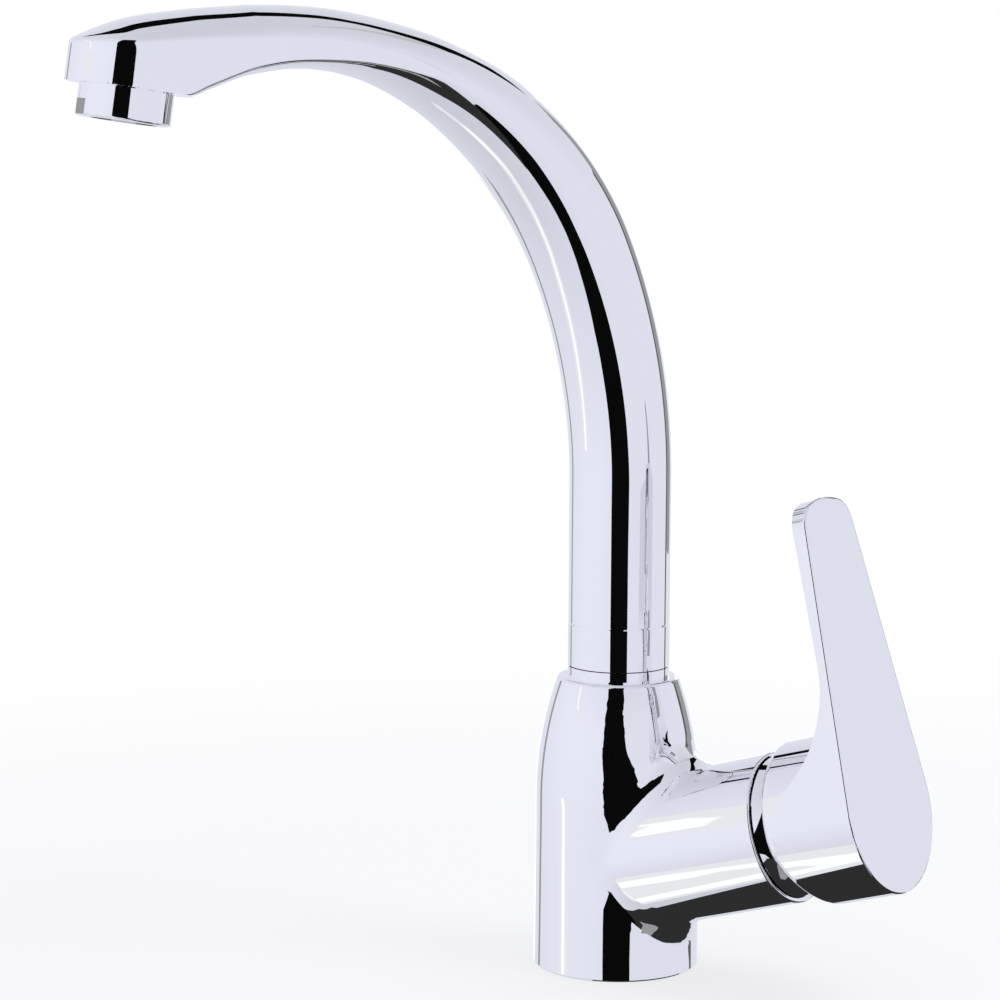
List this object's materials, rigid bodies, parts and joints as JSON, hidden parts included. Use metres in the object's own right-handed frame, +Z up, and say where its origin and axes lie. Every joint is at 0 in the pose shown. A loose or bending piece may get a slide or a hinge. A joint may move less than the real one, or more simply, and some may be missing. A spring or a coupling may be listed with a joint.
{
  "type": "kitchen mixer tap",
  "caption": "Chrome single lever kitchen tap with a side lever barrel, a tall swivelling swan neck spout and a separate waterway for filtered water.",
  "frame": {"origin": "centre of the round base on the worktop", "axes": "+Z up; +X the level direction of the lever barrel, which rises 17 degrees; at rest the spout points 237.5 degrees round from +X"},
  "size_m": [0.1943, 0.1678, 0.2818],
  "materials": {
    "cast_chrome": "polished chrome plate on a brass casting",
    "barrel_trim": "polished chrome plate on a turned brass trim",
    "lever_chrome": "polished chrome plate on a zinc lever",
    "spout_chrome": "polished chrome plate on the brass spout",
    "collar_chrome": "polished chrome plate on the swivel collar",
    "outlet_chrome": "polished chrome plate on the outlet ring",
    "black_rubber": "smooth nitrile rubber",
    "dark_joint": "dark low-friction plastic",
    "nut_brass": "machined brass",
    "pin_steel": "turned stainless steel",
    "white_plastic": "moulded acetal",
    "ceramic_white": "lapped alumina ceramic",
    "tube_blue": "food grade polyethylene tube",
    "insert_grey": "moulded flow insert",
    "screen_steel": "etched stainless steel",
    "plug_mark": "satin cover plug"
  },
  "bodies": {
    "tap_body": {"tap_body": "cast_chrome", "base_seal": "black_rubber", "filter_line_seal": "black_rubber", "swivel_ring": "barrel_trim", "spout_keeper_screw": "pin_steel", "cartridge_base": "white_plastic", "port_seals": "black_rubber", "fixed_disc": "ceramic_white", "cartridge_shell": "white_plastic", "cartridge_nut": "nut_brass", "dome_ring": "barrel_trim"},
    "turning_guide": {"lever_carrier": "white_plastic", "spindle_pin": "pin_steel"},
    "lever": {"spindle": "pin_steel", "lever_handle": "lever_chrome", "lever_screw": "pin_steel", "index_plug": "plug_mark"},
    "slider": {"moving_disc": "ceramic_white", "disc_driver": "white_plastic"},
    "spout": {"spout_shell": "spout_chrome", "spout_collar": "collar_chrome", "lower_stem_seal": "black_rubber", "upper_stem_seal": "black_rubber", "lower_glide_ring": "dark_joint", "upper_glide_ring": "dark_joint", "filter_tube": "tube_blue", "aerator_housing": "outlet_chrome", "aerator_insert": "insert_grey", "aerator_screen": "screen_steel", "aerator_washer": "black_rubber", "filter_nozzle": "white_plastic"}
  },
  "joints": [
    {"name": "spout_swivel", "type": "hinge", "parent": "tap_body", "child": "spout", "pos_m": [0, 0, 0.07], "axis": [0, 0, 1], "continuous": true},
    {"name": "temperature_turn", "type": "hinge", "parent": "tap_body", "child": "turning_guide", "pos_m": [0, 0, 0.031], "axis": [0.9563, 0, 0.2924], "range_deg": [-45, 45]},
    {"name": "flow_lift", "type": "hinge", "parent": "turning_guide", "child": "lever", "pos_m": [0.04782, 0, 0.04562], "axis": [0, 1, 0], "range_deg": [0, 22]},
    {"name": "disc_slide", "type": "slide", "parent": "turning_guide", "child": "slider", "axis": [-0.2924, 0, 0.9563], "range_m": [0, 0.0044]}
  ],
  "couplings": [
    {"joint": "disc_slide", "follows": "flow_lift", "m_per_rad": 0.0112}
  ]
}
